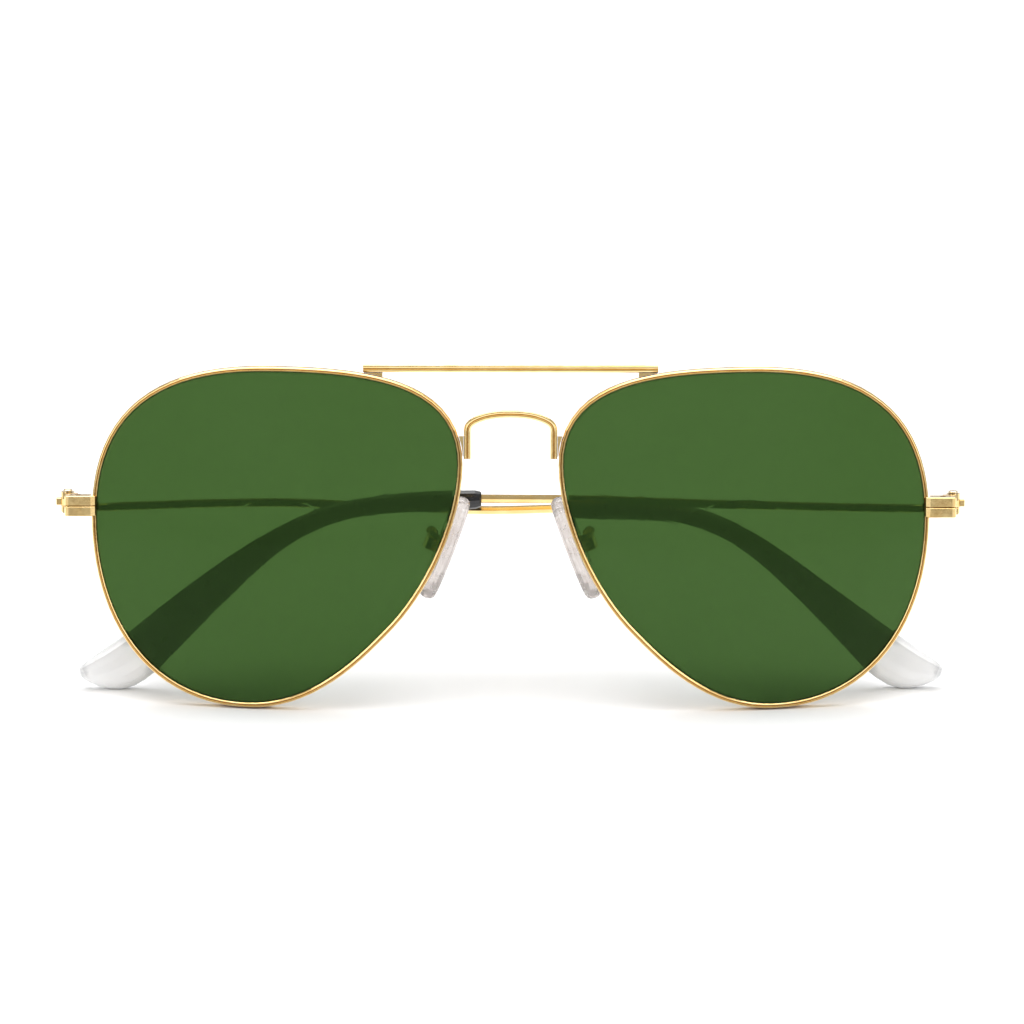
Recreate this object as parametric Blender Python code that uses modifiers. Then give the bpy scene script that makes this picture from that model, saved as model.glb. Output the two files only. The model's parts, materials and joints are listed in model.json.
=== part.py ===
"""Aviator sunglasses, folded and standing on their rims and temple tips.

Dimensions are in millimetres in the front's own frame: X to the viewer's right, Y back through the front,
Z up along the front. MM turns them into metres, and the front empty leans the whole frame back. "left" and
"right" are the viewer's. The pieces hinged at one side carry that side's name.
"""

import math

import bmesh
import bpy
from mathutils import Matrix, Vector
from mathutils.geometry import interpolate_bezier

MM = 0.001
LEAN = math.radians(9.0)
FIT = 0.05  # gap at a soldered or pushed-in face

# Lens opening of the right eye: four extreme points and one on the slanted nose side. The handles are the
# lengths that round the stretches between them.
TEMPORAL = Vector((66.25, 30.9))
TOP = Vector((38.9, 54.4))
NASAL = Vector((8.45, 39.6))
SLANT = Vector((19.6, 13.7))
BOTTOM = Vector((41.7, 1.0))
SLANT_ANGLE = math.radians(-46)
OUTLINE_STEPS = 96
LENS_CENTRE = Vector((37.3, 27.5))
LENS_RADIUS = 88.0  # base curve 6
LENS_THICKNESS = 1.6
LENS_RIDGE = 0.36  # how far the bevelled edge stands into the rim's groove
WRAP = math.tan(math.radians(4))

RIM_WIDTH = 0.85
RIM_DEPTH = 1.9

BAR_HALF = 23.5
BAR_HEIGHT = 1.15
BAR_DEPTH = 1.3
BRIDGE_LEG = 6.9
BRIDGE_FOOT = 40.5
BRIDGE_SHOULDER = 45.0
BRIDGE_TOP = 47.7
BRIDGE_HALF = 0.56
BRIDGE_Y = 3.9

BLOCK_INNER = 67.18
BLOCK_LIP = 66.4  # the lip that laps over the front of the rim
BLOCK_OUTER = 71.4
BLOCK_FRONT = 5.45
BLOCK_BACK = 8.4
BLOCK_MIDDLE = 32.5
BLOCK_HALF = 1.62
BLOCK_SPLIT = 0.1
RIM_SCREW = Vector((69.3, 7.15))
SCREW_SINK = 0.76  # radius of the counterbore under the rim screw's head

HINGE = Vector((71.2, 11.0, BLOCK_MIDDLE))
PLATE_INNER = 69.4
PLATE_OUTER = 70.9
PLATE_BACK = 9.4
KNUCKLE_RADIUS = 1.1
KNUCKLE_GAP = 0.05
KNUCKLE_HALF = 0.58
PIN_RADIUS = 0.42
BORE_RADIUS = 0.48
TONGUE_LENGTH = 6.5
TONGUE_DROP = 0.9
STUB_LENGTH = 1.9
TONGUE_OFFSET = 0.5

WIRE_RADIUS = 0.69
CORE_LENGTH = 12.0  # of the temple wire inside its sleeve

PAD_PIVOT = Vector((12.75, 7.25, 26.5))
PAD_TILT = math.radians(21.5)
PAD_SPLAY = math.radians(10)
PAD_SIZE = Vector((2.3, 6.2, 17.4))
PAD_BACK = 2.4  # from the pivot to the middle of the pad
PAD_BOX = Vector((1.9, 2.8, 2.2))

SIDES = {"left": -1, "right": 1}

PAINTS = {
    "gold": ((0.86, 0.62, 0.27, 1), 0.22, 1.0),
    "steel": ((0.75, 0.72, 0.66, 1), 0.30, 1.0),
    "green_lens": ((0.06, 0.14, 0.03, 1), 0.05, 0.0),
    "black_sleeve": ((0.012, 0.012, 0.013, 1), 0.25, 0.0),
    "white_tip": ((0.80, 0.80, 0.80, 1), 0.22, 0.0),
    "clear_pad": ((0.72, 0.70, 0.69, 1), 0.18, 0.0),
}


# ---------------------------------------------------------------- scene bookkeeping

def start():
    for old in list(bpy.data.objects):
        bpy.data.objects.remove(old)
    made = []
    for name in ("aviator_sunglasses", "cutters"):
        collection = bpy.data.collections.new(name)
        bpy.context.scene.collection.children.link(collection)
        made.append(collection)
    return made


PARTS, CUTTERS = start()


def empty(name, parent=None, at=(0, 0, 0)):
    thing = bpy.data.objects.new(name, None)
    thing.empty_display_size = 5 * MM
    thing.parent = parent
    thing.location = Vector(at) * MM
    PARTS.objects.link(thing)
    return thing


def paint(name):
    material = bpy.data.materials.get(name)
    if material is None:
        material = bpy.data.materials.new(name)
        material.use_nodes = True
        colour, roughness, metallic = PAINTS[name]
        shader = material.node_tree.nodes["Principled BSDF"]
        shader.inputs["Base Color"].default_value = colour
        shader.inputs["Roughness"].default_value = roughness
        shader.inputs["Metallic"].default_value = metallic
    return material


def add(name, data, parent, colour=None):
    """An object whose geometry is in the front's frame, under the empty of the body that it moves with."""
    thing = bpy.data.objects.new(name, data)
    thing.parent = parent
    thing.location = -parent.location if parent.parent else Vector()
    if colour:
        PARTS.objects.link(thing)
        data.materials.append(paint(colour))
    else:
        CUTTERS.objects.link(thing)
        thing.hide_render = True
        thing.display_type = "WIRE"
    return thing


def mesh_of(name, bm):
    bmesh.ops.recalc_face_normals(bm, faces=bm.faces)
    bmesh.ops.scale(bm, vec=(MM, MM, MM), verts=bm.verts)
    mesh = bpy.data.meshes.new(name)
    bm.to_mesh(mesh)
    bm.free()
    mesh.shade_smooth()
    mesh.set_sharp_from_angle(angle=math.radians(35))
    return mesh


def cut(thing, tool, operation="DIFFERENCE"):
    step = thing.modifiers.new(tool.name, "BOOLEAN")
    step.operation = operation
    step.solver = "EXACT"
    step.object = tool


def bevel(thing, width, segments=2):
    step = thing.modifiers.new("rounded edges", "BEVEL")
    step.width = width * MM
    step.segments = segments
    step.limit_method = "ANGLE"
    step.angle_limit = math.radians(40)


# ---------------------------------------------------------------- shapes

def block(name, low, high, parent, colour=None):
    """A box between two corners."""
    low, high = Vector(low), Vector(high)
    bm = bmesh.new()
    size = Matrix.Diagonal((*(high - low), 1))
    bmesh.ops.create_cube(bm, size=1, matrix=Matrix.Translation((low + high) / 2) @ size)
    return add(name, mesh_of(name, bm), parent, colour)


def rod(name, end, other_end, radius, parent, colour=None, sides=20):
    """A round rod between two points."""
    end, other_end = Vector(end), Vector(other_end)
    along = other_end - end
    turn = along.to_track_quat("Z", "Y").to_matrix().to_4x4()
    place = Matrix.Translation((end + other_end) / 2) @ turn
    bm = bmesh.new()
    bmesh.ops.create_cone(bm, cap_ends=True, segments=sides, radius1=radius, radius2=radius,
                          depth=along.length, matrix=place)
    return add(name, mesh_of(name, bm), parent, colour)


def along(points, share):
    """The place a share of the way along a Catmull-Rom curve through the given points."""
    points = [Vector(p) for p in points]
    ends = [2 * points[0] - points[1], *points, 2 * points[-1] - points[-2]]
    where = share * (len(points) - 1)
    k = min(int(where), len(points) - 2)
    t = where - k
    a, b, c, d = ends[k:k + 4]
    return 0.5 * (2 * b + (c - a) * t + (2 * a - 5 * b + 4 * c - d) * t ** 2
                  + (3 * b - a - 3 * c + d) * t ** 3)


def smooth(points, count):
    return [along(points, i / (count - 1)) for i in range(count)]


def poly_curve(name, points, cyclic=False, dimensions="3D"):
    curve = bpy.data.curves.new(name, "CURVE")
    curve.dimensions = dimensions
    spline = curve.splines.new("POLY")
    spline.points.add(len(points) - 1)
    for vertex, p in zip(spline.points, points):
        vertex.co = (*(Vector(p).to_3d() * MM), 1)
    spline.use_cyclic_u = cyclic
    return curve


def tube(name, points, radius, parent, colour):
    curve = poly_curve(name, points)
    curve.bevel_depth = radius * MM
    curve.bevel_resolution = 2
    curve.use_fill_caps = True
    return add(name, curve, parent, colour)


def solid(thing):
    """Replace an object by its finished mesh, with its end caps joined on and every face turned outwards."""
    bpy.context.view_layer.update()
    mesh = bpy.data.meshes.new_from_object(thing.evaluated_get(bpy.context.evaluated_depsgraph_get()))
    bm = bmesh.new()
    bm.from_mesh(mesh)
    bmesh.ops.remove_doubles(bm, verts=bm.verts, dist=0.0000001)
    bmesh.ops.recalc_face_normals(bm, faces=bm.faces)
    bm.to_mesh(mesh)
    bm.free()
    mesh.shade_smooth()
    mesh.set_sharp_from_angle(angle=math.radians(35))
    name = thing.name
    thing.name = name + "_path"
    made = bpy.data.objects.new(name, mesh)
    made.parent = thing.parent
    made.location, made.rotation_euler = thing.location, thing.rotation_euler
    PARTS.objects.link(made)
    bpy.data.objects.remove(thing)
    return made


def loft(name, rings, parent, colour):
    """A closed skin through rings of points, with a flat cap at each end."""
    bm = bmesh.new()
    rows = [[bm.verts.new(p) for p in ring] for ring in rings]
    for row, following in zip(rows, rows[1:]):
        for i in range(len(row)):
            j = (i + 1) % len(row)
            bm.faces.new((row[i], row[j], following[j], following[i]))
    bm.faces.new(rows[0])
    bm.faces.new(rows[-1])
    return add(name, mesh_of(name, bm), parent, colour)


def turned(name, profile, foot, parent, colour, axis=Vector((0, 0, 1)), steps=20):
    """A profile of (radius, height) pairs, from its top down, turned about an axis through its foot."""
    mesh = bpy.data.meshes.new(name)
    points = [Vector((radius, 0, height)) * MM for radius, height in profile]
    edges = [(i, i + 1) for i in range(len(points) - 1)]
    mesh.from_pydata(points, edges, [])
    thing = add(name, mesh, parent, colour)
    thing.location += Vector(foot) * MM
    thing.rotation_mode = "QUATERNION"
    thing.rotation_quaternion = axis.to_track_quat("Z", "Y")
    spin = thing.modifiers.new("turned", "SCREW")
    spin.steps = spin.render_steps = steps
    spin.use_merge_vertices = True
    spin.merge_threshold = 0.00001
    spin.use_smooth_shade = True
    return thing


def screw(name, foot, length, radius, head, parent, axis=Vector((0, 0, 1))):
    """A slotted screw whose head is at the far end of its axis, away from the foot."""
    head_radius, head_height = head
    top = length + head_height
    profile = [(0, top), (head_radius * 0.75, top), (head_radius, top - head_height * 0.45),
               (head_radius, length), (radius, length), (radius, 0), (0, 0)]
    thing = turned(name, profile, foot, parent, "steel", axis)
    slot = block(name + "_slot", (-head_radius * 1.2, -0.12, top - head_height * 0.4),
                 (head_radius * 1.2, 0.12, top + 0.3), parent)
    slot.location = thing.location
    slot.rotation_mode = "QUATERNION"
    slot.rotation_quaternion = thing.rotation_quaternion
    cut(thing, slot)
    return thing


# ---------------------------------------------------------------- front: outline, rims and lenses

def opening_outline():
    """The right lens opening, as evenly spaced points that start and end at the closing block."""
    up, right = Vector((0, 1)), Vector((1, 0))
    slope = Vector((math.cos(SLANT_ANGLE), math.sin(SLANT_ANGLE)))
    knots = [
        (TEMPORAL, up * 16.7, up * -17.2),
        (TOP, right * -15.2, right * 16.8),
        (NASAL, up * -9.2, up * 13.0),
        (SLANT, slope * 6.4, slope * -7.8),
        (BOTTOM, right * 15.6, right * -10.2),
    ]
    dense = []
    for (knot, leaving, _), (following, _, arriving) in zip(knots, knots[1:] + knots[:1]):
        dense += interpolate_bezier(knot, knot + leaving, following + arriving, following, 60)[:-1]
    start = min(range(len(dense)), key=lambda i: (dense[i] - Vector((BLOCK_INNER, BLOCK_MIDDLE))).length)
    dense = dense[start:] + dense[:start]
    return even(dense, OUTLINE_STEPS)


def even(points, count):
    """The closed line through the points, cut into equal lengths."""
    closed = points + points[:1]
    lengths = [(b - a).length for a, b in zip(closed, closed[1:])]
    step = sum(lengths) / count
    out, travelled, k = [], 0.0, 0
    for i in range(count):
        while travelled + lengths[k] < i * step:
            travelled += lengths[k]
            k += 1
        share = (i * step - travelled) / lengths[k]
        out.append(closed[k].lerp(closed[k + 1], share))
    return out


def grown(points, distance):
    """The closed outline moved outwards by a distance."""
    out = []
    for i, p in enumerate(points):
        along = points[(i + 1) % len(points)] - points[i - 1]
        out.append(p + Vector((along.y, -along.x)).normalized() * distance)
    return out


def depth(x, z):
    """How far back the lens curve lies at a place on either eye."""
    across = abs(x) - LENS_CENTRE.x
    reach = across ** 2 + (z - LENS_CENTRE.y) ** 2
    return LENS_RADIUS - math.sqrt(LENS_RADIUS ** 2 - reach) + across * WRAP


OPENING = opening_outline()


def edge_at(height, distance, inner=True):
    """The X of the outline grown by a distance, at a height on its nose side or temple side."""
    line = grown(OPENING, distance)
    best = []
    for a, b in zip(line, line[1:] + line[:1]):
        if (a.y - height) * (b.y - height) <= 0 and a.y != b.y:
            best.append(a.x + (b.x - a.x) * (height - a.y) / (b.y - a.y))
    return min(best) if inner else max(best)


def top_at(across, distance):
    """The height of the grown outline above a place across the eye."""
    line = grown(OPENING, distance)
    best = []
    for a, b in zip(line, line[1:] + line[:1]):
        if (a.x - across) * (b.x - across) <= 0 and a.x != b.x:
            best.append(a.y + (b.y - a.y) * (across - a.x) / (b.x - a.x))
    return max(best)


def rim_profile():
    """The rim wire's section: two ridges in front, and the lens groove on its inner side."""
    half = RIM_DEPTH / 2
    section = [(0, half - 0.12), (0.14, half), (0.30, half - 0.04), (0.41, half - 0.2), (0.52, half - 0.04),
               (0.66, half), (0.80, half - 0.16), (RIM_WIDTH, 0), (0.80, 0.16 - half), (0.60, -half),
               (0.14, -half), (0, 0.12 - half), (0.45, -0.14), (0.45, 0.14)]
    curve = poly_curve("rim_section", [(RIM_WIDTH / 2 - r, y) for r, y in section], True, "2D")
    guide = bpy.data.objects.new("rim_section", curve)
    guide.hide_render = True
    guide.display_type = "WIRE"
    CUTTERS.objects.link(guide)
    return guide


def rim(side, front, section):
    """One rim wire, bent round the lens from the upper closing block to the lower one."""
    sign = SIDES[side]
    line = grown(OPENING, RIM_WIDTH / 2)
    half_split = BLOCK_SPLIT / 2
    x = edge_at(BLOCK_MIDDLE, RIM_WIDTH / 2, inner=False)
    line = [Vector((x, BLOCK_MIDDLE + half_split)), *line[1:], Vector((x, BLOCK_MIDDLE - half_split))]
    line = [Vector((p.x * sign, p.y, -depth(p.x, p.y))) for p in line]
    if sign > 0:
        line.reverse()
    curve = poly_curve("rim_" + side, line)
    curve.twist_mode = "Z_UP"
    curve.bevel_mode = "OBJECT"
    curve.bevel_object = section
    curve.use_fill_caps = True
    thing = add("rim_" + side, curve, front, "gold")
    thing.rotation_euler = (math.radians(90), 0, 0)
    solid(thing)


def lens(side, front):
    """A meniscus lens: a flat disc in the shape of the opening, with a V edge, pressed to the lens curve."""
    sign = SIDES[side]
    edge = grown(OPENING, LENS_RIDGE)
    rings = 4
    span = math.pi / 4
    bm = bmesh.new()
    bmesh.ops.create_uvsphere(bm, u_segments=OUTLINE_STEPS, v_segments=4 * rings, radius=1)
    polar = {v: math.acos(max(-1, min(1, v.co.z))) for v in bm.verts}
    bmesh.ops.delete(bm, geom=[v for v in bm.verts if polar[v] > span + 0.01], context="VERTS")
    for v in bm.verts:
        turn = math.atan2(v.co.y, v.co.x) % (2 * math.pi)
        place = edge[round(turn / (2 * math.pi) * OUTLINE_STEPS) % OUTLINE_STEPS]
        flat = LENS_CENTRE.lerp(place, polar[v] / span)
        v.co = (flat.x * sign, 0, flat.y)
    thing = add("lens_" + side, mesh_of("lens_" + side, bm), front, "green_lens")
    shell = thing.modifiers.new("thickness", "SOLIDIFY")
    shell.thickness = LENS_THICKNESS * MM
    shell.offset = 0
    bevel(thing, LENS_THICKNESS / 2 - 0.12, 1)
    thing = solid(thing)
    for v in thing.data.vertices:
        v.co.y += depth(v.co.x / MM, v.co.z / MM) * MM


# ---------------------------------------------------------------- front: brow bar, bridge and end pieces

def brow_bar(front):
    low = top_at(BAR_HALF, RIM_WIDTH) + 3 * FIT
    middle = depth(BAR_HALF, low)
    section = grooved(BAR_HEIGHT / 2, BAR_DEPTH / 2)
    rings = [[(x, middle - y, low + BAR_HEIGHT / 2 + z) for z, y in section] for x in (-BAR_HALF, BAR_HALF)]
    loft("brow_bar", rings, front, "gold")
    return low


def grooved(half_width, half_depth):
    """The section of a flat wire with rounded corners and a groove along the middle of its front."""
    w, d = half_width, half_depth
    right = [(0, d - 0.2), (0.12, d - 0.05), (0.28, d), (w - 0.12, d - 0.08), (w, d - 0.3), (w, 0.25 - d),
             (w - 0.2, -d)]
    return right + [(-x, y) for x, y in reversed(right[1:])]


def wedge(name, corners, y, half_depth, parent):
    """A filler between two wires: four corners in the X-Z plane, given a depth."""
    rings = [[(x, y + d, z) for x, z in corners] for d in (-half_depth, half_depth)]
    return loft(name, rings, parent, "gold")


def bar_solder(side, front, low):
    """The filler under one end of the brow bar, down to the rim."""
    sign = SIDES[side]
    near, far = 20.4, BAR_HALF - 0.15
    gap = RIM_WIDTH + 0.08
    corners = [(near * sign, low - FIT), (far * sign, low - FIT)]
    for i in range(4):
        x = far + (near - far) * i / 3
        corners.append((x * sign, min(top_at(x, gap), low - 2 * FIT)))
    wedge("bar_solder_" + side, corners, depth(BAR_HALF, low), 0.5, front)


def bridge(front):
    """A grooved wire: two straight legs with a shallow arch between them."""
    corner = Vector((1.9 - BRIDGE_LEG, BRIDGE_TOP - 0.75))
    legs = [Vector((-BRIDGE_LEG, BRIDGE_FOOT)), Vector((-BRIDGE_LEG, BRIDGE_SHOULDER - 1))]
    shoulder = Vector((-BRIDGE_LEG, BRIDGE_SHOULDER))
    bend = interpolate_bezier(shoulder, shoulder + Vector((0, 1.1)), corner + Vector((-1.0, -0.4)), corner, 7)
    arch = interpolate_bezier(corner, corner + Vector((1.5, 0.6)), Vector((-1.8, BRIDGE_TOP)),
                              Vector((0, BRIDGE_TOP)), 6)
    half = legs + bend + arch[1:]
    path = half + [Vector((-p.x, p.y)) for p in reversed(half[:-1])]
    section = grooved(BRIDGE_HALF, BRIDGE_HALF)
    rings = []
    for i, p in enumerate(path):
        ahead = path[min(i + 1, len(path) - 1)] - path[max(i - 1, 0)]
        side = Vector((-ahead.y, ahead.x)).normalized()
        rings.append([(p.x + side.x * w, BRIDGE_Y - y, p.y + side.y * w) for w, y in section])
    loft("bridge", rings, front, "gold")


def bridge_solder(side, front):
    """The filler between one leg of the bridge and its rim."""
    sign = SIDES[side]
    leg = BRIDGE_LEG + BRIDGE_HALF + FIT
    gap = RIM_WIDTH + 0.08
    low, high = BRIDGE_FOOT + 0.4, BRIDGE_FOOT + 3.6
    corners = [(leg * sign, high), (leg * sign, low)]
    for i in range(4):
        z = low + (high - low) * i / 3
        corners.append((edge_at(z, gap) * sign, z))
    wedge("bridge_solder_" + side, corners, BRIDGE_Y, 0.42, front)


def end_piece(side, front):
    """The two closing blocks, the rim screw that draws them together, and the hinge half behind them."""
    sign = SIDES[side]
    split = BLOCK_SPLIT / 2
    at = Vector((RIM_SCREW.x * sign, RIM_SCREW.y, 0))
    below, above = Vector((0, 0, BLOCK_MIDDLE - 4)), Vector((0, 0, BLOCK_MIDDLE + 4))
    drill = rod("rim_screw_hole_" + side, at + below, at + above, BORE_RADIUS, front)
    spans = {"upper": (BLOCK_MIDDLE + split, BLOCK_MIDDLE + BLOCK_HALF),
             "lower": (BLOCK_MIDDLE - BLOCK_HALF, BLOCK_MIDDLE - split)}
    back_of_lip = BLOCK_FRONT + 0.5
    plan = [(BLOCK_LIP, back_of_lip), (BLOCK_LIP + 0.1, back_of_lip - 0.15), (BLOCK_INNER, BLOCK_FRONT),
            (BLOCK_OUTER - 0.7, BLOCK_FRONT), (BLOCK_OUTER - 0.2, BLOCK_FRONT + 0.2),
            (BLOCK_OUTER, BLOCK_FRONT + 0.7), (BLOCK_OUTER, BLOCK_BACK), (BLOCK_INNER, BLOCK_BACK),
            (BLOCK_INNER, back_of_lip)]
    seat = Vector((0, 0, BLOCK_MIDDLE - BLOCK_HALF + 0.5))
    sink = rod("rim_screw_sink_" + side, at + below, at + seat, SCREW_SINK, front)
    for level, (low, high) in spans.items():
        rings = [[(x * sign, y, z) for x, y in plan] for z in (low, high)]
        piece = loft(f"endpiece_{level}_{side}", rings, front, "gold")
        bevel(piece, 0.12, 1)
        cut(piece, drill)
        cut(piece, sink)
    screw("rim_screw_" + side, at + Vector((0, 0, BLOCK_MIDDLE + BLOCK_HALF - 0.2)),
          2 * BLOCK_HALF - 0.7 + FIT, PIN_RADIUS, (0.68, 0.45), front, Vector((0, 0, -1)))
    front_hinge(side, front)


def front_hinge(side, front):
    """A plate behind the blocks with the hinge's upper and lower knuckles."""
    sign = SIDES[side]
    low, high = BLOCK_MIDDLE - BLOCK_HALF, BLOCK_MIDDLE + BLOCK_HALF
    xs = sorted((PLATE_INNER * sign, PLATE_OUTER * sign))
    plate = block("front_hinge_" + side, (xs[0], BLOCK_BACK + FIT, low), (xs[1], PLATE_BACK, high), front,
                  "gold")
    at = Vector((HINGE.x * sign, HINGE.y, 0))
    for level, (bottom, top) in {
        "top": (HINGE.z + KNUCKLE_HALF + KNUCKLE_GAP, high),
        "bottom": (low, HINGE.z - KNUCKLE_HALF - KNUCKLE_GAP),
    }.items():
        inner, outer = sorted(((PLATE_OUTER - 0.75) * sign, (PLATE_OUTER + 1.0) * sign))
        web = block(f"web_{level}_{side}", (inner, PLATE_BACK - 0.2, bottom), (outer, HINGE.y, top), front)
        knuckle = rod(f"knuckle_{level}_{side}", at + Vector((0, 0, bottom)), at + Vector((0, 0, top)),
                      KNUCKLE_RADIUS, front)
        cut(plate, web, "UNION")
        cut(plate, knuckle, "UNION")
    bore = rod("front_bore_" + side, at + Vector((0, 0, low - 1)), at + Vector((0, 0, high + 1)),
               BORE_RADIUS, front)
    cut(plate, bore)
    screw("hinge_screw_" + side, at + Vector((0, 0, low + 0.1)), 2 * BLOCK_HALF - 0.1 + FIT, PIN_RADIUS,
          (0.78, 0.35), front)


# ---------------------------------------------------------------- nose pads

def pad_frame(side, front):
    """An empty at the pad screw: its Y runs along the screw and its X points away from the nose."""
    sign = SIDES[side]
    pivot = Vector((PAD_PIVOT.x * sign, PAD_PIVOT.y, PAD_PIVOT.z))
    thing = empty("pad_pivot_" + side, front, pivot)
    thing.rotation_euler = (0, PAD_TILT * -sign, PAD_SPLAY * -sign)
    return thing


def local(thing):
    """Geometry under a pad pivot is in the pivot's own frame."""
    thing.location = Vector()
    return thing


def pad_box(side, pivot):
    """The small box that holds the pad's lug, open towards the pad, with a hole for the screw."""
    sign = SIDES[side]
    half = PAD_BOX / 2
    box = local(block("pad_box_" + side, -half, half, pivot, "gold"))
    bevel(box, 0.15, 1)
    xs = sorted((-2.0 * sign, 0.62 * sign))
    slot = local(block("pad_slot_" + side, (xs[0], -0.55, -2), (xs[1], 0.55, 2), pivot))
    hole = local(rod("pad_hole_" + side, (0, -3, 0), (0, 3, 0), 0.36, pivot, sides=16))
    cut(box, slot)
    cut(box, hole)
    pin = screw("pad_screw_" + side, (0, 0, 0), PAD_BOX.y - 0.1 + FIT, 0.3, (0.55, 0.3), pivot,
                Vector((0, -1, 0)))
    for piece in (pin, bpy.data.objects[f"pad_screw_{side}_slot"]):
        piece.location = Vector((0, half.y - 0.1, 0)) * MM


def nose_pad(side, pivot):
    """A soft oval pad with a metal lug on its back, held between the walls of the box."""
    sign = SIDES[side]
    oval = []
    for i in range(28):
        turn = 2 * math.pi * i / 28
        c, s = math.cos(turn), math.sin(turn)
        squareness = (abs(c) ** 2.3 + abs(s) ** 2.3) ** (-1 / 2.3)
        oval.append((squareness * c * (PAD_SIZE.y / 2 - 0.5), squareness * s * (PAD_SIZE.z / 2 - 0.5)))
    rings = []
    for across, growth in ((-0.5, 0), (-0.32, 0.36), (0, 0.5), (0.32, 0.36), (0.5, 0)):
        x = -PAD_BACK * sign + across * PAD_SIZE.x
        scale = [1 + (growth / (PAD_SIZE.y / 2 - 0.5)), 1 + (growth / (PAD_SIZE.z / 2 - 0.5))]
        rings.append([(x, y * scale[0], z * scale[1]) for y, z in oval])
    local(loft("nose_pad_" + side, rings, pivot, "clear_pad"))
    back = (-PAD_BACK + PAD_SIZE.x / 2 + FIT) * sign
    xs = sorted((back, 0))
    lug = local(block("pad_lug_" + side, (xs[0], -0.4, -0.5), (xs[1], 0.4, 0.5), pivot, "gold"))
    eye = local(rod("pad_eye_" + side, (0, -0.45, 0), (0, 0.45, 0), 0.56, pivot, sides=16))
    bore = local(rod("pad_bore_" + side, (0, -1, 0), (0, 1, 0), 0.35, pivot, sides=16))
    cut(lug, eye, "UNION")
    cut(lug, bore)


def pad_arm(side, front):
    """The springy wire from the back of the rim, over the top and down into the pad box."""
    sign = SIDES[side]
    root_z = PAD_PIVOT.z + 0.4
    root_x = edge_at(root_z, RIM_WIDTH / 2)
    root_y = depth(root_x, root_z) + RIM_DEPTH / 2 + FIT
    up = Vector((-math.sin(PAD_TILT), 0, math.cos(PAD_TILT)))
    box_top = PAD_PIVOT + up * (PAD_BOX.z / 2 + 2 * FIT)
    route = [(root_x, root_y, root_z), (root_x + 0.3, root_y + 1.3, root_z + 0.5),
             box_top + Vector((0.85, -1.8, 1.0)), box_top + Vector((0.45, -0.5, 1.35)),
             box_top + up * 0.7, box_top]
    points = [(p.x * sign, p.y, p.z) for p in smooth(route, 18)]
    tube("pad_arm_" + side, points, 0.4, front, "gold")


# ---------------------------------------------------------------- temples

# Each temple's wire from its hinge tongue to the end of its core, and the upper and lower edges of its
# sleeve and tip end, as seen from the front. X runs towards the far side. "back" is the Y of the sleeve at
# its collar and at the tip.
TEMPLES = {
    "right": {
        "wire": [(64.68, 11.5, 31.6), (56, 11.45, 31.7), (34, 11.5, 32.2), (14, 11.75, 32.85),
                 (-4.7, 12.0, 32.95)],
        "core": (-16.7, 12.06, 32.6),
        "back": (12.0, 13.6),
        "upper": [(-4.7, 34.3), (-13, 34.15), (-22, 33.3), (-31, 31.3), (-41.6, 25.9), (-52.2, 18.5),
                  (-62.0, 10.65)],
        "lower": [(-4.7, 31.4), (-12, 30.8), (-20.5, 30.5), (-28.5, 28.9), (-37, 24.4), (-46.5, 15.6),
                  (-57.2, 4.55)],
        "tip_upper": [(-62.05, 10.6), (-64.3, 9.05), (-66.6, 7.45), (-68.5, 6.1), (-69.6, 5.1),
                      (-69.85, 4.5)],
        "tip_lower": [(-57.25, 4.5), (-60.1, 2.4), (-63.1, 1.45), (-66.2, 1.8), (-68.6, 2.8),
                      (-69.5, 3.6)],
    },
    "left": {
        "wire": [(64.68, 11.5, 31.6), (57, 11.9, 31.85), (46, 13.3, 32.0), (34, 14.4, 31.9),
                 (18, 14.6, 31.1), (4, 14.6, 30.7), (-8.2, 14.6, 31.0)],
        "core": (-20.2, 14.66, 31.1),
        "back": (14.6, 14.7),
        "upper": [(-8.2, 32.4), (-17, 32.5), (-25, 31.9), (-33, 30.3), (-42, 25.5), (-52.2, 18.2),
                  (-62.3, 10.85)],
        "lower": [(-8.2, 29.5), (-16, 29.3), (-24, 29.05), (-31, 27.7), (-38.5, 23.6), (-47.5, 15.4),
                  (-57.6, 4.75)],
        "tip_upper": [(-62.35, 10.8), (-64.6, 9.2), (-66.9, 7.6), (-68.8, 6.25), (-69.9, 5.3),
                      (-70.15, 4.7)],
        "tip_lower": [(-57.65, 4.7), (-60.5, 2.6), (-63.5, 1.62), (-66.6, 2.0), (-69.0, 3.0),
                      (-69.8, 3.8)],
    },
}


def flat_loft(name, sign, upper, lower, back, thickness, count, pivot, colour, round_start=False):
    """A flattened, round-edged body between an upper and a lower edge."""
    shares = [i / (count - 1) for i in range(count)]
    if round_start:
        shares[1:1] = [0.005, 0.02]
    rings = []
    for share in shares:
        high, low = along(upper, share), along(lower, share)
        fullness = 1 - 0.22 * max(0, 1 - share / 0.02) ** 2 if round_start else 1
        middle, reach = (high + low) / 2, (high - low) / 2 * fullness
        y = back[0] + (back[1] - back[0]) * share ** 3
        half = thickness(share) / 2 * fullness
        ring = []
        for k in range(16):
            turn = 2 * math.pi * k / 16
            c, s = math.cos(turn), math.sin(turn)
            full = (abs(c) ** 2.6 + abs(s) ** 2.6) ** (-1 / 2.6)
            spot = middle + reach * (full * c)
            ring.append((spot.x * sign, y + half * full * s, spot.y))
        rings.append(ring)
    return loft(name, rings, pivot, colour)


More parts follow.
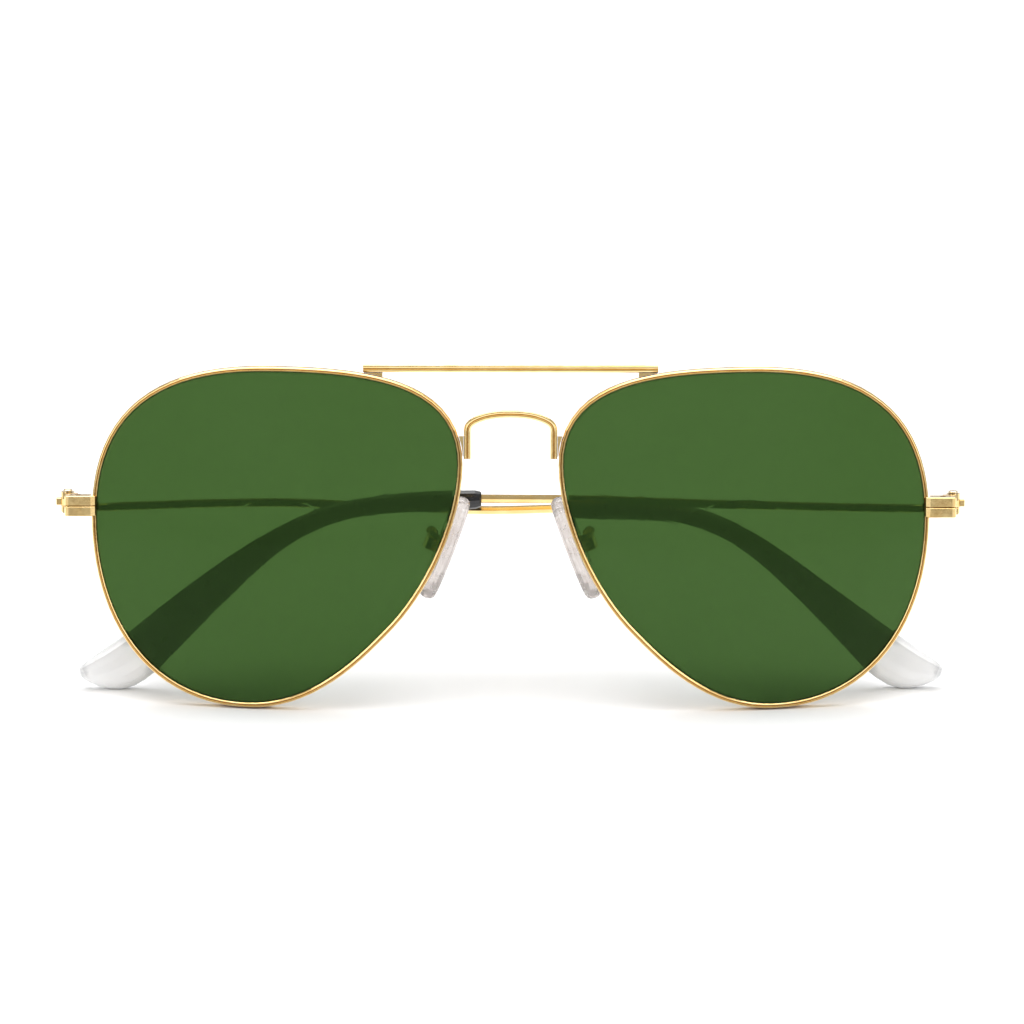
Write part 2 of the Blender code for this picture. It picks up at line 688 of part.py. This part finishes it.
def temple(side, pivot):
    """One temple: hinge half, wire, sleeve and tip end, all on the hinge's axis."""
    sign = SIDES[side]
    shape = TEMPLES[side]
    temple_hinge(side, pivot)
    wire_end = Vector(shape["core"])
    route = smooth(shape["wire"], 26)
    route += smooth([shape["wire"][-1], wire_end], 4)[1:]
    route = [(p.x * sign, p.y, p.z) for p in route]
    tube("temple_wire_" + side, route, WIRE_RADIUS, pivot, "gold")
    sleeve = flat_loft("sleeve_" + side, sign, shape["upper"], shape["lower"], shape["back"],
                       lambda share: 2.9 - 0.5 * share, 19, pivot, "black_sleeve", True)
    collar = Vector(shape["wire"][-1])
    along = (wire_end - collar).normalized()
    ends = [collar - along * 2, wire_end + along * 0.3]
    bore = rod("sleeve_bore_" + side, *[(p.x * sign, p.y, p.z) for p in ends], WIRE_RADIUS + 0.06, pivot,
               sides=16)
    cut(sleeve, bore)
    tip_back = (shape["back"][1], shape["back"][1] + 0.1)
    flat_loft("tip_end_" + side, sign, shape["tip_upper"], shape["tip_lower"], tip_back,
              lambda share: 2.4 * math.sqrt(max(1 - share ** 4 * 0.85, 0.05)), 9, pivot, "white_tip")


def temple_hinge(side, pivot):
    """The temple's half of the hinge: the middle knuckle on a tongue whose short stub is the stop."""
    sign = SIDES[side]
    at = Vector((HINGE.x * sign, HINGE.y, HINGE.z))
    middle = HINGE.y + TONGUE_OFFSET
    stations = [(HINGE.x + STUB_LENGTH, 0), (HINGE.x - 1.6, 0), (HINGE.x - 3.4, -TONGUE_DROP),
                (HINGE.x - TONGUE_LENGTH, -TONGUE_DROP)]
    corners = [(-0.55, -KNUCKLE_HALF), (0.55, -KNUCKLE_HALF), (0.55, KNUCKLE_HALF), (-0.55, KNUCKLE_HALF)]
    rings = [[(x * sign, middle + y, at.z + drop + z) for y, z in corners] for x, drop in stations]
    tongue = loft("temple_hinge_" + side, rings, pivot, "gold")
    bevel(tongue, 0.1, 1)
    knuckle = rod("knuckle_middle_" + side, at - Vector((0, 0, KNUCKLE_HALF)),
                  at + Vector((0, 0, KNUCKLE_HALF)), KNUCKLE_RADIUS, pivot)
    bore = rod("temple_bore_" + side, at - Vector((0, 0, 2)), at + Vector((0, 0, 2)), BORE_RADIUS, pivot)
    cut(tongue, knuckle, "UNION")
    cut(tongue, bore)


# ---------------------------------------------------------------- assembly

def stand(front):
    """Put the lowest point on the ground and the middle of the bounding box over the origin."""
    bpy.context.view_layer.update()
    graph = bpy.context.evaluated_depsgraph_get()
    corners = []
    for thing in PARTS.objects:
        if thing.type == "EMPTY":
            continue
        shape = thing.evaluated_get(graph)
        mesh = bpy.data.meshes.new_from_object(shape)
        corners += [shape.matrix_world @ v.co for v in mesh.vertices]
        bpy.data.meshes.remove(mesh)
    low = Vector([min(c[i] for c in corners) for i in range(3)])
    high = Vector([max(c[i] for c in corners) for i in range(3)])
    front.location -= Vector(((low.x + high.x) / 2, (low.y + high.y) / 2, low.z))
    bpy.context.view_layer.update()


def build():
    front = empty("front")
    front.rotation_euler = (-LEAN, 0, 0)
    section = rim_profile()
    low = brow_bar(front)
    bridge(front)
    for side, sign in SIDES.items():
        rim(side, front, section)
        lens(side, front)
        bar_solder(side, front, low)
        bridge_solder(side, front)
        end_piece(side, front)
        pad_arm(side, front)
        pad = pad_frame(side, front)
        pad_box(side, pad)
        nose_pad(side, pad)
        hinge_at = Vector((HINGE.x * sign, HINGE.y, HINGE.z))
        temple(side, empty("temple_pivot_" + side, front, hinge_at))
    stand(front)


build()
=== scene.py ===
"""Looks for the folded aviator sunglasses: materials, floor, light and camera."""

import json
import math

import bpy
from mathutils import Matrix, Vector

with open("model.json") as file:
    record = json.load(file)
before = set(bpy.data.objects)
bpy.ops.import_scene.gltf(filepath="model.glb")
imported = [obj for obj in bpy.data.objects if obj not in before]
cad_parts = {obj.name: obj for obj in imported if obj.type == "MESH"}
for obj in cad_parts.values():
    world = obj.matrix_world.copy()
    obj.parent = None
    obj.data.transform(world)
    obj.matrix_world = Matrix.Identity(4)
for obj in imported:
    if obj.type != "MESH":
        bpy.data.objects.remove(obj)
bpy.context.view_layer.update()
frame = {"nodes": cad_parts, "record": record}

MM = 0.001
scene = bpy.context.scene
scene.view_settings.view_transform = "Standard"
scene.view_settings.look = "None"


# ---------------------------------------------------------------- camera

CAMERA_DISTANCE = 900 * MM
CAMERA_RISE = math.radians(17.0)
PICTURE_WIDTH = 163.8 * MM
SENSOR_WIDTH = 36.0
AIM = Vector((0.25, -1.1, 31.1)) * MM
ROLL = math.radians(0.1)  # anticlockwise, so the left side stands a little higher


def add_camera():
    data = bpy.data.cameras.new("camera")
    data.sensor_width = SENSOR_WIDTH
    data.lens = SENSOR_WIDTH * CAMERA_DISTANCE / PICTURE_WIDTH
    data.clip_start = 0.05
    data.clip_end = 20
    camera = bpy.data.objects.new("camera", data)
    away = Vector((0, -math.cos(CAMERA_RISE), math.sin(CAMERA_RISE)))
    camera.location = AIM + away * CAMERA_DISTANCE
    camera.rotation_euler = (math.radians(90) - CAMERA_RISE, 0, 0)
    camera.rotation_euler.rotate_axis("Z", ROLL)
    scene.collection.objects.link(camera)
    scene.camera = camera


# ---------------------------------------------------------------- light and floor

FLOOR_SIZE = 8.0
WORLD_STRENGTH = 0.42


def area_light(name, at, target, size, power):
    data = bpy.data.lights.new(name, "AREA")
    data.shape = "RECTANGLE"
    data.size, data.size_y = size
    data.energy = power
    light = bpy.data.objects.new(name, data)
    light.location = at
    light.rotation_euler = (Vector(target) - Vector(at)).to_track_quat("-Z", "Y").to_euler()
    scene.collection.objects.link(light)


def add_lights():
    world = bpy.data.worlds.new("studio")
    world.use_nodes = True
    background = world.node_tree.nodes["Background"]
    background.inputs["Color"].default_value = (1, 1, 1, 1)
    background.inputs["Strength"].default_value = WORLD_STRENGTH
    scene.world = world
    area_light("top_soft", (0, 0.15, 0.9), (0, 0, 0.02), (1.2, 0.9), 10.5)
    area_light("left_soft", (-0.8, -0.35, 0.45), (0, 0, 0.03), (0.4, 0.6), 2.2)
    area_light("right_soft", (0.8, -0.35, 0.45), (0, 0, 0.03), (0.4, 0.6), 2.2)


def add_floor():
    bpy.ops.mesh.primitive_plane_add(size=FLOOR_SIZE)
    floor = bpy.context.object
    floor.name = "floor"
    floor.data.materials.append(material("floor_white", (0.97, 0.97, 0.972), 0.9))


# ---------------------------------------------------------------- materials

class Shader:
    """A material's node tree with short ways to add and join nodes."""

    def __init__(self, name, colour, roughness, metallic=0.0):
        self.material = bpy.data.materials.new(name)
        self.material.use_nodes = True
        self.tree = self.material.node_tree
        self.surface = self.tree.nodes["Principled BSDF"]
        self.set("Base Color", (*colour, 1))
        self.set("Roughness", roughness)
        self.set("Metallic", metallic)

    def set(self, socket, value):
        self.surface.inputs[socket].default_value = value

    def node(self, kind, inputs=None, **settings):
        made = self.tree.nodes.new("ShaderNode" + kind)
        for key, value in settings.items():
            setattr(made, key, value)
        for socket, value in (inputs or {}).items():
            if isinstance(value, bpy.types.NodeSocket):
                self.tree.links.new(value, made.inputs[socket])
            else:
                made.inputs[socket].default_value = value
        return made

    def noise(self, size_mm, detail=3.0):
        where = self.node("TexCoord").outputs["Object"]
        return self.node("TexNoise", {"Vector": where, "Scale": 1 / (size_mm * MM),
                                      "Detail": detail}).outputs["Fac"]

    def ramp(self, factor, stops):
        made = self.node("ValToRGB", {"Fac": factor})
        bar = made.color_ramp
        bar.elements[0].position, bar.elements[0].color = stops[0][0], (*stops[0][1], 1)
        bar.elements[1].position, bar.elements[1].color = stops[-1][0], (*stops[-1][1], 1)
        for position, colour in stops[1:-1]:
            bar.elements.new(position).color = (*colour, 1)
        return made.outputs["Color"]

    def remap(self, value, low, high, to_low, to_high):
        return self.node("MapRange", {"Value": value, "From Min": low, "From Max": high,
                                      "To Min": to_low, "To Max": to_high}).outputs["Result"]

    def mix(self, factor, colour, other):
        """Between a plain colour and another output's colour."""
        made = self.tree.nodes.new("ShaderNodeMixRGB")
        made.inputs["Color1"].default_value = (*colour, 1)
        self.tree.links.new(factor, made.inputs["Fac"])
        self.tree.links.new(other, made.inputs["Color2"])
        return made.outputs["Color"]

    def join(self, output, socket):
        self.tree.links.new(output, self.surface.inputs[socket])

    def bump(self, height, strength, distance_mm):
        made = self.node("Bump", {"Height": height, "Strength": strength, "Distance": distance_mm * MM})
        self.join(made.outputs["Normal"], "Normal")


def material(name, colour, roughness):
    return Shader(name, colour, roughness).material


def gold():
    """Polished gold plate with painted shade: brown painted where it is hollow, faintly grained, uneven
    in tone and gloss.
    """
    s = Shader("gold_plate", (0.93, 0.70, 0.36), 0.16, 1.0)
    # Painted shade: ambient occlusion turns the base colour dark brown in grooves and hollows.
    painted_shade_ao = s.node("AmbientOcclusion", {"Distance": 0.6 * MM}, samples=8).outputs["AO"]
    tone = s.ramp(s.noise(2.5), [(0.3, (0.95, 0.66, 0.27)), (0.7, (1.0, 0.76, 0.37))])
    painted_shade_amount = s.remap(painted_shade_ao, 0.2, 0.7, 0.0, 1.0)
    # The brown mixed in here is painted shade, not the metal's own colour.
    s.join(s.mix(painted_shade_amount, (0.30, 0.12, 0.02), tone), "Base Color")
    s.join(s.remap(s.noise(0.8, 4.0), 0.3, 0.7, 0.10, 0.22), "Roughness")
    s.bump(s.noise(0.35, 2.0), 0.12, 0.02)
    return s.material


def steel():
    """Small screws: gilded steel, a little worn."""
    s = Shader("screw_steel", (0.80, 0.68, 0.46), 0.25, 1.0)
    s.join(s.ramp(s.noise(0.6), [(0.3, (0.62, 0.50, 0.32)), (0.7, (0.90, 0.78, 0.55))]), "Base Color")
    s.join(s.remap(s.noise(0.3, 4.0), 0.3, 0.7, 0.18, 0.4), "Roughness")
    s.bump(s.noise(0.2, 2.0), 0.2, 0.02)
    return s.material


def lens_glass():
    """Green glass, seen through, with almost no gloss and a barely uneven tint."""
    s = Shader("green_glass", (0.062, 0.130, 0.033), 0.0)
    s.set("Transmission Weight", 0.72)
    s.set("IOR", 1.45)
    s.set("Specular IOR Level", 0.05)
    s.set("Specular Tint", (0.08, 0.10, 0.08, 1))
    tint = s.ramp(s.noise(45, 1.0), [(0.3, (0.059, 0.126, 0.031)), (0.7, (0.065, 0.134, 0.036))])
    s.join(tint, "Base Color")
    return s.material


def clear_pad():
    """Clear silicone with a slight rose-grey tint and a soft skin."""
    s = Shader("clear_silicone", (0.76, 0.70, 0.67), 0.2)
    s.set("Transmission Weight", 0.75)
    s.set("IOR", 1.41)
    s.set("Coat Weight", 0.3)
    s.join(s.ramp(s.noise(3, 2.0), [(0.3, (0.71, 0.64, 0.61)), (0.7, (0.89, 0.84, 0.82))]), "Base Color")
    s.join(s.remap(s.noise(1.2, 3.0), 0.3, 0.7, 0.14, 0.3), "Roughness")
    s.bump(s.noise(1.5, 2.0), 0.15, 0.05)
    return s.material


def black_sleeve():
    """Glossy black acetate with a faint moulded skin."""
    s = Shader("black_acetate", (0.010, 0.010, 0.011), 0.22)
    s.set("Coat Weight", 0.4)
    tone = s.ramp(s.noise(4, 2.0), [(0.3, (0.007, 0.007, 0.008)), (0.7, (0.016, 0.015, 0.016))])
    s.join(tone, "Base Color")
    s.join(s.remap(s.noise(1.5, 3.0), 0.3, 0.7, 0.16, 0.30), "Roughness")
    s.bump(s.noise(2.0, 2.0), 0.08, 0.05)
    return s.material


def white_tip():
    """Pearl-white tip end, glossy and softly cloudy, with painted shade: greyer where it is thin,
    towards its edges.
    """
    s = Shader("pearl_white", (0.9, 0.9, 0.9), 0.18)
    s.set("Coat Weight", 0.8)
    # Painted shade: inside ambient occlusion greys the base colour where the tip is thin, at its edges.
    painted_edge_shade_ao = s.node("AmbientOcclusion", {"Distance": 2.2 * MM}, samples=12, inside=True).outputs["AO"]
    cloud = s.ramp(s.noise(5, 3.0), [(0.3, (0.95, 0.95, 0.96)), (0.7, (0.99, 0.99, 0.99))])
    # The grey mixed in here is painted shade at the edges, not a grey part of the plastic.
    s.join(s.mix(s.remap(painted_edge_shade_ao, 0.1, 0.6, 0.0, 1.0), (0.32, 0.32, 0.33), cloud), "Base Color")
    s.join(s.remap(s.noise(2, 3.0), 0.3, 0.7, 0.12, 0.22), "Roughness")
    s.bump(s.noise(3.0, 2.0), 0.06, 0.05)
    return s.material


def dress():
    """Give every CAD node its finish by the record's slots."""
    finishes = {"gold": gold(), "steel": steel(), "green_lens": lens_glass(), "clear_pad": clear_pad(),
                "black_sleeve": black_sleeve(), "white_tip": white_tip()}
    slots = {part["node"]: part["material_slot"] for part in frame["record"]["subparts"]}
    for name, node in frame["nodes"].items():
        for spot in node.material_slots:
            spot.material = finishes[slots[name]]


dress()
add_floor()
add_lights()
add_camera()
